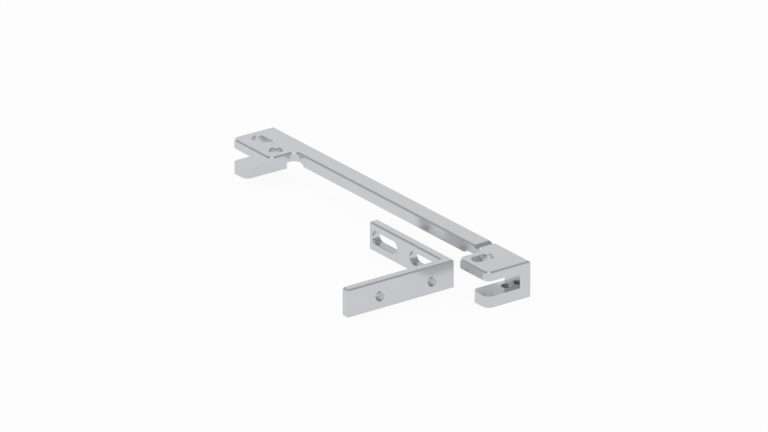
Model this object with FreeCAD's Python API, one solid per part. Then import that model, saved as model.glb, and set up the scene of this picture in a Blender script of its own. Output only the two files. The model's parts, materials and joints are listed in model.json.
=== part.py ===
import FreeCAD
import Part
import os

# Vertical graphics card bracket: a long rail with a forked block at each end, and a short
# L-bracket that stands in front of it. Each is milled from one piece of aluminium.
# Millimetres. +X runs along the rail to its right end, +Y to its back face and +Z up.
# The origin lies on the floor, below the middle of the pair.

# Rail: overall size, and the slim bar between its two blocks.
rail_length = 140.8
rail_height = 12.25
bar_width = 6.7
bar_thickness = 4.15

# Rail: the forked blocks. Each is a top plate, a web at the back and a lower arm.
block_depth = 17.0
plate_thickness = 3.15
left_plate_length = 22.2
right_plate_length = 15.85
web_thickness = 4.05
arm_length = 8.15
arm_thickness = 3.85

# Rail: corners seen from above, and the broken top edge.
front_corner_radius = 2.3
inside_corner_radius = 2.5
edge_chamfer = 0.5

# Rail: the reliefs that thin the bar to the plates' thickness beside each block. Each reaches
# this far from the block, and then ends in a round run-out.
relief_radius = 2.5
left_relief_reach = 2.4
right_relief_reach = 8.05

# Rail: the round groove milled across the bar's top beside the right block.
groove_radius = 1.65
groove_depth = 1.0
groove_from_block = 3.7

# Screw openings. A slot's length is from end to end.
slot_width = 4.3
rim_chamfer = 0.2
left_slot_length = 9.5
left_slot_from_end = 8.0
left_slot_from_back = 9.85
round_hole_diameter = 4.5
round_hole_from_end = 17.45
round_hole_from_back = 11.4
right_slot_length = 7.9
right_slot_from_end = 11.0
right_slot_from_back = 10.85

# Threaded holes, drawn at the thread's outer diameter, with sharp mouths.
thread_diameter = 3.5
arm_hole_from_end = 4.25
arm_hole_from_back = 6.4

# L-bracket: two equal legs, seen from above.
leg_thickness = 3.3
leg_height = 9.4
leg_corner_radius = 0.6

# L-bracket: its openings, at the spacing of a computer case's card covers.
card_spacing = 20.32
leg_slot_length = 13.7
leg_slot_from_corner = 13.05
leg_slot_height = 4.65
leg_hole_from_corner = 9.0
leg_hole_height = 4.1
leg_end_wall = 1.4

# Where the L-bracket stands: from the rail's right end, and from its back face.
bracket_from_end = 20.2
bracket_from_back = 14.8

# How far a cutting tool runs past the faces that it cuts through.
run_out = 1.0

# Sizes and places that follow from the ones above. A leg ends just past its last slot.
leg_length = leg_slot_from_corner + card_spacing + leg_slot_length / 2 + leg_end_wall
right = rail_length / 2
left = -right
back = (bracket_from_back + leg_length) / 2
left_inside = left + left_plate_length
right_inside = right - right_plate_length
plate_underside = rail_height - plate_thickness

UP = FreeCAD.Vector(0, 0, 1)
RIGHT = FreeCAD.Vector(1, 0, 0)
FRONT = FreeCAD.Vector(0, -1, 0)
tolerance = 1e-6


def prism(outline, direction):
    """Solid swept in a straight line from a closed outline of corner points."""
    corners = [FreeCAD.Vector(*point) for point in outline]
    face = Part.Face(Part.makePolygon(corners + corners[:1]))
    return face.extrude(direction)


def upright_edges(solid, places):
    """The solid's vertical edges that stand on the given points of the plan."""
    found = []
    for edge in solid.Edges:
        start = edge.Vertexes[0].Point
        end = edge.Vertexes[-1].Point
        vertical = abs(start.z - end.z) > tolerance
        for x, y in places:
            on_place = max(abs(start.x - x), abs(end.x - x), abs(start.y - y), abs(end.y - y)) < tolerance
            if vertical and on_place:
                found.append(edge)
    return found


def break_top_edges(solid):
    """Chamfer every edge that runs round the solid's top face."""
    top = solid.BoundBox.ZMax
    edges = [edge for edge in solid.Edges if edge.BoundBox.ZMin > top - tolerance]
    return solid.makeChamfer(edge_chamfer, edges)


def slot_outline(width, length, z):
    """Closed outline of a slot along X with round ends. It is a circle where length equals width."""
    radius = width / 2
    reach = (length - width) / 2
    if reach < tolerance:
        return Part.Wire(Part.Circle(FreeCAD.Vector(0, 0, z), UP, radius).toShape())
    near = [FreeCAD.Vector(-reach, -radius, z), FreeCAD.Vector(reach, -radius, z)]
    far = [FreeCAD.Vector(reach, radius, z), FreeCAD.Vector(-reach, radius, z)]
    right_end = Part.Arc(near[1], FreeCAD.Vector(reach + radius, 0, z), far[0])
    left_end = Part.Arc(far[1], FreeCAD.Vector(-reach - radius, 0, z), near[0])
    sides = [Part.LineSegment(*near), right_end, Part.LineSegment(*far), left_end]
    return Part.Wire([side.toShape() for side in sides])


def rim_cutter(width, length, rim):
    """Tapered cutter for the chamfer round an opening whose mouth is at z = 0."""
    wide = slot_outline(width + 2 * (rim + run_out), length + 2 * (rim + run_out), run_out)
    narrow = slot_outline(width, length, -rim)
    return Part.makeLoft([wide, narrow], True, True)


def opening_cutter(width, length, thickness, mouth, outward, along):
    """Cutter for a slot or round hole through a wall, with both rims chamfered."""
    shaft = Part.Face(slot_outline(width, length, run_out)).extrude(UP * -(thickness + 2 * run_out))
    outer_rim = rim_cutter(width, length, rim_chamfer)
    inner_rim = outer_rim.mirror(FreeCAD.Vector(0, 0, -thickness / 2), UP)
    cutter = shaft.multiFuse([outer_rim, inner_rim])
    cutter.Placement = FreeCAD.Placement(mouth, FreeCAD.Rotation(along, FreeCAD.Vector(), outward, "ZXY"))
    return cutter


def threaded_hole(mouth, inward, thickness):
    """Plain cutter for a threaded hole through a wall."""
    start = mouth - inward * run_out
    return Part.makeCylinder(thread_diameter / 2, thickness + 2 * run_out, start, inward)


def rail_top():
    """The rail seen from above: both top plates and the top of the bar, as one plate."""
    front = back - block_depth
    bar_front = back - bar_width
    outline = [
        (left, back), (left, front), (left_inside, front), (left_inside, bar_front),
        (right_inside, bar_front), (right_inside, front), (right, front), (right, back),
    ]
    plate = prism([(x, y, plate_underside) for x, y in outline], UP * plate_thickness)
    front_corners = [(x, front) for x in (left, left_inside, right_inside, right)]
    plate = plate.makeFillet(front_corner_radius, upright_edges(plate, front_corners))
    inside_corners = [(left_inside, bar_front), (right_inside, bar_front)]
    return plate.makeFillet(inside_corner_radius, upright_edges(plate, inside_corners))


def bar():
    """The slim bar between the blocks, thicker than the plates."""
    corner = FreeCAD.Vector(left_inside, back - bar_width, rail_height - bar_thickness)
    return Part.makeBox(right_inside - left_inside, bar_width, bar_thickness, corner)


def fork(outer_end, inner_end):
    """Web and lower arm of one block: an L-shaped profile run along X, its corners broken."""
    front = back - block_depth
    wall = back - web_thickness
    profile = [
        (back, 0), (front, 0), (front, arm_thickness),
        (wall, arm_thickness), (wall, plate_underside), (back, plate_underside),
    ]
    hook = prism([(outer_end, y, z) for y, z in profile], RIGHT * (inner_end - outer_end))
    front_corners = upright_edges(hook, [(outer_end, front), (inner_end, front)])
    hook = hook.makeFillet(front_corner_radius, front_corners)
    return hook.makeChamfer(edge_chamfer, upright_edges(hook, [(inner_end, back)]))


def relief(block_side, reach):
    """Cutter for the relief under the bar, from the block's side over a signed reach along X."""
    outline = slot_outline(2 * relief_radius, abs(reach) + 2 * relief_radius, 0)
    cutter = Part.Face(outline).extrude(UP * (bar_width + 2 * run_out))
    middle = FreeCAD.Vector(block_side + reach / 2, back + run_out, plate_underside - relief_radius)
    cutter.Placement = FreeCAD.Placement(middle, FreeCAD.Rotation(RIGHT, FreeCAD.Vector(), FRONT, "ZXY"))
    return cutter


def groove():
    """Cutter for the shallow round groove across the top of the bar."""
    x = right_inside - groove_from_block
    centre = FreeCAD.Vector(x, back + run_out, rail_height - groove_depth + groove_radius)
    return Part.makeCylinder(groove_radius, bar_width + 2 * run_out, centre, FRONT)


def plate_openings():
    """Cutters for the screw openings in the two top plates."""
    left_slot = FreeCAD.Vector(left + left_slot_from_end, back - left_slot_from_back, rail_height)
    left_hole = FreeCAD.Vector(left + round_hole_from_end, back - round_hole_from_back, rail_height)
    right_slot = FreeCAD.Vector(right - right_slot_from_end, back - right_slot_from_back, rail_height)
    return [
        opening_cutter(slot_width, left_slot_length, plate_thickness, left_slot, UP, RIGHT),
        opening_cutter(round_hole_diameter, round_hole_diameter, plate_thickness, left_hole, UP, RIGHT),
        opening_cutter(slot_width, right_slot_length, plate_thickness, right_slot, UP, FRONT),
    ]


def arm_openings():
    """Cutters for the clamping screw's threaded hole in each lower arm."""
    cutters = []
    for x in (left + arm_hole_from_end, right - arm_hole_from_end):
        mouth = FreeCAD.Vector(x, back - arm_hole_from_back, 0)
        cutters.append(threaded_hole(mouth, UP, arm_thickness))
    return cutters


def rail_bracket():
    """The long rail, milled from one bar."""
    forks = [fork(left, left + arm_length), fork(right, right - arm_length)]
    body = rail_top().multiFuse([bar()] + forks).removeSplitter()
    body = break_top_edges(body)
    reliefs = [relief(left_inside, left_relief_reach), relief(right_inside, -right_relief_reach)]
    return body.cut(reliefs + [groove()] + plate_openings() + arm_openings())


def l_bracket():
    """The short L-bracket: slots in its back leg, threaded holes in its side leg."""
    corner_x = right - bracket_from_end
    corner_y = back - bracket_from_back
    inside_x = corner_x - leg_thickness
    inside_y = corner_y - leg_thickness
    end_x = corner_x - leg_length
    end_y = corner_y - leg_length
    outline = [
        (corner_x, corner_y), (end_x, corner_y), (end_x, inside_y),
        (inside_x, inside_y), (inside_x, end_y), (corner_x, end_y),
    ]
    body = prism([(x, y, 0) for x, y in outline], UP * leg_height)
    rounded = [place for place in outline if place != (inside_x, inside_y)]
    body = body.makeFillet(leg_corner_radius, upright_edges(body, rounded))
    body = break_top_edges(body)
    cutters = []
    for step in (0, card_spacing):
        slot = FreeCAD.Vector(corner_x - leg_slot_from_corner - step, inside_y, leg_slot_height)
        hole = FreeCAD.Vector(corner_x, corner_y - leg_hole_from_corner - step, leg_hole_height)
        cutters.append(opening_cutter(slot_width, leg_slot_length, leg_thickness, slot, FRONT, RIGHT))
        cutters.append(threaded_hole(hole, -RIGHT, leg_thickness))
    return body.cut(cutters)


def main():
    os.makedirs("parts", exist_ok=True)
    pieces = {"rail_bracket": rail_bracket(), "l_bracket": l_bracket()}
    for node, shape in pieces.items():
        solid = shape.Solids[0]
        solid.exportStep(os.path.join("parts", node + ".step"))
        print(node, "solids", len(shape.Solids), "valid", solid.isValid(), "volume", round(solid.Volume, 1))


main()
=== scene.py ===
import json
import math

import bpy
from mathutils import Matrix, Vector


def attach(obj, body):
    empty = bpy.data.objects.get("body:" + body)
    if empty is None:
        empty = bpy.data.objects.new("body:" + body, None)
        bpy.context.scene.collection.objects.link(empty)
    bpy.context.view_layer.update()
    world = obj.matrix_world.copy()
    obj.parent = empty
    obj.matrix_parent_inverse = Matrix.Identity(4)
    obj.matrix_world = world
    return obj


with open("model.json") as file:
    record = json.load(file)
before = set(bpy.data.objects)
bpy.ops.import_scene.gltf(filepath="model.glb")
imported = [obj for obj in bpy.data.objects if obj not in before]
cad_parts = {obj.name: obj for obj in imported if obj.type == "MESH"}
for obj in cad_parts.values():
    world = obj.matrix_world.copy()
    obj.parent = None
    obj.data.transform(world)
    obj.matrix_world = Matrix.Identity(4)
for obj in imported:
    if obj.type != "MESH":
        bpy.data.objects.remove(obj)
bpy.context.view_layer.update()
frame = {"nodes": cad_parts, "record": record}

# Metres and degrees. The row frame: +X along the rail, +Y to its back face, +Z up.
MM = 0.001
mounts = {mount["name"]: mount for mount in frame["record"]["mounts"]}

# Thread of the 6-32 UNC case screws: 32 turns to the inch, cut to a minor diameter of 2.66 mm.
# The ridge's foot is sunk a hair into the hole's wall, and it rises over the lead-in inside both mouths.
THREAD_PITCH = 25.4 / 32 * MM
THREAD_DEPTH = 0.42 * MM
THREAD_CREST = THREAD_PITCH / 8
THREAD_FOOT = THREAD_PITCH * 7 / 8
THREAD_ROOT_IN_WALL = 0.02 * MM
THREAD_LEAST_HEIGHT = 0.01 * MM
THREAD_LEAD_IN = 0.2 * MM
THREAD_STEPS_PER_TURN = 48
LEG_THREAD_LENGTH = 3.3 * MM
LEG_THREAD_START = math.radians(138)
ARM_THREAD_START = math.radians(180)

# The metal: its colour under white light of strength 1, and its fine grain.
ALUMINIUM_COLOUR = (0.68, 0.688, 0.707, 1.0)
ALUMINIUM_ROUGHNESS = 0.19
ROUGHNESS_SPREAD = 0.02
TINT_SPREAD = 0.015
GRAIN_SCALE = 2500.0
GRAIN_DETAIL = 3.0

# Room and floor.
FLOOR_GAP = 0.02 * MM
FLOOR_HALF_WIDTH = 8.0
FLOOR_COLOUR = (0.85, 0.85, 0.85, 1.0)
FLOOR_GLOW = 0.85
FLOOR_GLOW_TO_CAMERA = 1.06
FLOOR_GLOW_TO_METAL = 0.9
WHITE = (1.0, 1.0, 1.0, 1.0)

# The room's brightness by the sine of the direction's elevation, from 0 level to 1 straight up,
# and the same for its dark and its bright wall, each around the direction of its middle. A wall
# fades in between the two values of the edge, which are cosines of the angle from its middle.
ROOM_LEVELS = [
    (0.0, 0.86), (0.42, 0.86), (0.50, 0.44), (0.60, 0.44),
    (0.75, 0.54), (0.79, 0.26), (0.87, 0.26), (0.91, 1.1),
]
DARK_WALL_LEVELS = [
    (0.0, 0.86), (0.38, 0.86), (0.46, 0.28), (0.62, 0.28),
    (0.72, 0.60), (0.79, 0.42), (0.87, 0.42), (0.91, 1.1),
]
DARK_WALL_MIDDLE = (0.81, 0.59, 0.0)
BRIGHT_WALL_LEVELS = [
    (0.0, 0.86), (0.08, 1.08), (0.42, 1.08), (0.50, 0.44), (0.60, 0.44),
    (0.75, 0.54), (0.79, 0.26), (0.87, 0.26), (0.91, 1.1),
]
BRIGHT_WALL_MIDDLE = (-0.81, -0.59, 0.0)
WALL_EDGE = (0.55, 0.70)

# Camera: the photograph's viewing angle, and the floor point that it looks at.
CAMERA_AZIMUTH = 53.995
CAMERA_ELEVATION = 22.617
CAMERA_AIM = Vector((-10.332, 29.751, 0.0)) * MM
CAMERA_DISTANCE = 2196.86 * MM
CAMERA_LENS = 316.64
CAMERA_SENSOR_WIDTH = 36.0


def thread_section(height, wall_half, radius):
    """The ridge's four corners at one turn angle, as radius and height, lower inside both mouths."""
    corners = []
    offsets = (-THREAD_FOOT / 2, -THREAD_CREST / 2, THREAD_CREST / 2, THREAD_FOOT / 2)
    for place, offset in enumerate(offsets):
        lowest = -wall_half + place * THREAD_LEAST_HEIGHT
        highest = wall_half - (3 - place) * THREAD_LEAST_HEIGHT
        level = min(max(height + offset, lowest), highest)
        rise = (THREAD_FOOT / 2 - abs(level - height)) / (THREAD_FOOT / 2 - THREAD_CREST / 2)
        lead_in = (wall_half - abs(level)) / THREAD_LEAD_IN
        share = min(max(rise, 0.0), lead_in, 1.0) if place in (1, 2) else 0.0
        corners.append((radius + THREAD_ROOT_IN_WALL - (THREAD_DEPTH + THREAD_ROOT_IN_WALL) * share, level))
    return corners


def thread_ridge(name, centre, axis, radius, length, start_angle):
    """Internal thread: one closed ridge that winds up a hole's wall, from one mouth to the other."""
    travel = length + THREAD_FOOT
    turns = travel / THREAD_PITCH
    steps = round(turns * THREAD_STEPS_PER_TURN)
    turn_to_axis = Vector((0, 0, 1)).rotation_difference(Vector(axis))
    vertices = []
    for step in range(steps + 1):
        angle = start_angle + 2 * math.pi * turns * step / steps
        height = travel * (step / steps - 0.5)
        for distance, level in thread_section(height, length / 2, radius):
            spot = Vector((distance * math.cos(angle), distance * math.sin(angle), level))
            vertices.append(centre + turn_to_axis @ spot)
    faces = [(3, 2, 1, 0), tuple(4 * steps + corner for corner in range(4))]
    for step in range(steps):
        for corner in range(4):
            here = 4 * step + corner
            beside = 4 * step + (corner + 1) % 4
            faces.append((here, beside, beside + 4, here + 4))
    mesh = bpy.data.meshes.new(name)
    mesh.from_pydata(vertices, [], faces)
    mesh.update()
    piece = bpy.data.objects.new(name, mesh)
    bpy.context.scene.collection.objects.link(piece)
    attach(piece, "root")
    return piece


def cut_threads():
    """The threads of the four screw holes."""
    ridges = []
    pattern = mounts["side_leg_threads"]
    middle = Vector(pattern["pos_m"])
    half_spacing = pattern["dims"]["spacing_x_mm"] * MM / 2
    radius = pattern["dims"]["hole_r_mm"] * MM
    for name, side in (("thread_side_leg_back", 1), ("thread_side_leg_front", -1)):
        centre = middle + Vector((0, side * half_spacing, 0))
        ridges.append(
            thread_ridge(name, centre, pattern["axis"], radius, LEG_THREAD_LENGTH, LEG_THREAD_START)
        )
    for side in ("left", "right"):
        hole = mounts[side + "_arm_thread"]
        radius = hole["dims"]["r_mm"] * MM
        length = hole["dims"]["length_mm"] * MM
        name = "thread_" + side + "_arm"
        ridges.append(
            thread_ridge(name, Vector(hole["pos_m"]), hole["axis"], radius, length, ARM_THREAD_START)
        )
    return ridges


def satin_aluminium():
    """Milled and finely blasted aluminium: an even grey metal with a very fine grain."""
    material = bpy.data.materials.new("satin_aluminium")
    material.use_nodes = True
    nodes = material.node_tree.nodes
    links = material.node_tree.links
    shader = nodes["Principled BSDF"]
    shader.inputs["Metallic"].default_value = 1.0
    place = nodes.new("ShaderNodeTexCoord")
    grain = nodes.new("ShaderNodeTexNoise")
    grain.inputs["Scale"].default_value = GRAIN_SCALE
    grain.inputs["Detail"].default_value = GRAIN_DETAIL
    tint = nodes.new("ShaderNodeMix")
    tint.data_type = "RGBA"
    tint.inputs[6].default_value = tuple((1 - TINT_SPREAD) * part for part in ALUMINIUM_COLOUR)
    tint.inputs[7].default_value = tuple((1 + TINT_SPREAD) * part for part in ALUMINIUM_COLOUR)
    gloss = nodes.new("ShaderNodeMapRange")
    gloss.inputs["To Min"].default_value = ALUMINIUM_ROUGHNESS - ROUGHNESS_SPREAD
    gloss.inputs["To Max"].default_value = ALUMINIUM_ROUGHNESS + ROUGHNESS_SPREAD
    links.new(place.outputs["Object"], grain.inputs["Vector"])
    links.new(grain.outputs["Fac"], tint.inputs["Factor"])
    links.new(grain.outputs["Fac"], gloss.inputs["Value"])
    links.new(tint.outputs[2], shader.inputs["Base Color"])
    links.new(gloss.outputs["Result"], shader.inputs["Roughness"])
    return material


def floor_material():
    """White floor that keeps the object's shadow and looks white to the camera and in the metal."""
    material = bpy.data.materials.new("floor")
    material.use_nodes = True
    nodes = material.node_tree.nodes
    links = material.node_tree.links
    nodes.remove(nodes["Principled BSDF"])
    matt = nodes.new("ShaderNodeBsdfDiffuse")
    matt.inputs["Color"].default_value = FLOOR_COLOUR
    glow = nodes.new("ShaderNodeEmission")
    glow.inputs["Color"].default_value = WHITE
    path = nodes.new("ShaderNodeLightPath")
    strength = nodes.new("ShaderNodeMapRange")
    strength.inputs["To Min"].default_value = FLOOR_GLOW_TO_METAL
    strength.inputs["To Max"].default_value = FLOOR_GLOW_TO_CAMERA
    links.new(path.outputs["Is Camera Ray"], strength.inputs["Value"])
    links.new(strength.outputs["Result"], glow.inputs["Strength"])
    seen = add_ray_kinds(nodes, links, path)
    share = nodes.new("ShaderNodeMath")
    share.operation = "MULTIPLY"
    share.inputs[1].default_value = FLOOR_GLOW
    mix = nodes.new("ShaderNodeMixShader")
    links.new(seen, share.inputs[0])
    links.new(share.outputs["Value"], mix.inputs["Fac"])
    links.new(matt.outputs["BSDF"], mix.inputs[1])
    links.new(glow.outputs["Emission"], mix.inputs[2])
    links.new(mix.outputs["Shader"], nodes["Material Output"].inputs["Surface"])
    return material


def add_ray_kinds(nodes, links, path):
    """1 for camera, glossy and transmission rays, and 0 for the rest."""
    total = path.outputs["Is Camera Ray"]
    for kind in ("Is Glossy Ray", "Is Transmission Ray"):
        either = nodes.new("ShaderNodeMath")
        either.operation = "MAXIMUM"
        links.new(total, either.inputs[0])
        links.new(path.outputs[kind], either.inputs[1])
        total = either.outputs["Value"]
    return total


def lay_floor():
    """Plain white floor below the object."""
    half = FLOOR_HALF_WIDTH
    mesh = bpy.data.meshes.new("floor")
    plan = [(-half, -half), (half, -half), (half, half), (-half, half)]
    corners = [(x, y, -FLOOR_GAP) for x, y in plan]
    mesh.from_pydata(corners, [], [(0, 1, 2, 3)])
    mesh.materials.append(floor_material())
    floor = bpy.data.objects.new("floor", mesh)
    bpy.context.scene.collection.objects.link(floor)


def level_ramp(nodes, levels):
    """Colour ramp through the given pairs of position and level."""
    ramp = nodes.new("ShaderNodeValToRGB")
    stops = ramp.color_ramp.elements
    stops[0].position, stops[1].position = levels[0][0], levels[-1][0]
    for position, level in levels[1:-1]:
        stops.new(position)
    for stop, (position, level) in zip(stops, levels):
        stop.color = (level, level, level, 1.0)
    return ramp


def add_wall(nodes, links, direction, height, room, levels, middle):
    """Room with one of its walls at other levels, around the direction of the wall's middle."""
    wall = level_ramp(nodes, levels)
    facing = nodes.new("ShaderNodeVectorMath")
    facing.operation = "DOT_PRODUCT"
    facing.inputs[1].default_value = middle
    share = nodes.new("ShaderNodeMapRange")
    share.inputs["From Min"].default_value, share.inputs["From Max"].default_value = WALL_EDGE
    mix = nodes.new("ShaderNodeMix")
    mix.data_type = "RGBA"
    links.new(height, wall.inputs["Fac"])
    links.new(direction, facing.inputs[0])
    links.new(facing.outputs["Value"], share.inputs["Value"])
    links.new(share.outputs["Result"], mix.inputs["Factor"])
    links.new(room, mix.inputs[6])
    links.new(wall.outputs["Color"], mix.inputs[7])
    return mix.outputs[2]


def light_room():
    """Pale walls, darker higher up, below a soft white ceiling light. One wall is dark and one bright."""
    world = bpy.data.worlds.new("room")
    bpy.context.scene.world = world
    world.use_nodes = True
    nodes = world.node_tree.nodes
    links = world.node_tree.links
    direction = nodes.new("ShaderNodeTexCoord").outputs["Generated"]
    split = nodes.new("ShaderNodeSeparateXYZ")
    links.new(direction, split.inputs["Vector"])
    height = split.outputs["Z"]
    walls = level_ramp(nodes, ROOM_LEVELS)
    links.new(height, walls.inputs["Fac"])
    room = walls.outputs["Color"]
    room = add_wall(nodes, links, direction, height, room, DARK_WALL_LEVELS, DARK_WALL_MIDDLE)
    room = add_wall(nodes, links, direction, height, room, BRIGHT_WALL_LEVELS, BRIGHT_WALL_MIDDLE)
    links.new(room, nodes["Background"].inputs["Color"])


def place_camera():
    """Camera at the photograph's viewing angle."""
    azimuth = math.radians(CAMERA_AZIMUTH)
    elevation = math.radians(CAMERA_ELEVATION)
    across = math.cos(elevation)
    toward = Vector((math.sin(azimuth) * across, -math.cos(azimuth) * across, math.sin(elevation)))
    data = bpy.data.cameras.new("camera")
    data.sensor_width = CAMERA_SENSOR_WIDTH
    data.lens = CAMERA_LENS
    camera = bpy.data.objects.new("camera", data)
    turn = (-toward).to_track_quat("-Z", "Y").to_matrix().to_4x4()
    camera.matrix_world = Matrix.Translation(CAMERA_AIM + toward * CAMERA_DISTANCE) @ turn
    bpy.context.scene.collection.objects.link(camera)
    bpy.context.scene.camera = camera


metal = satin_aluminium()
for piece in list(frame["nodes"].values()) + cut_threads():
    piece.data.materials.clear()
    piece.data.materials.append(metal)
lay_floor()
light_room()
place_camera()
bpy.context.scene.view_settings.view_transform = "Standard"
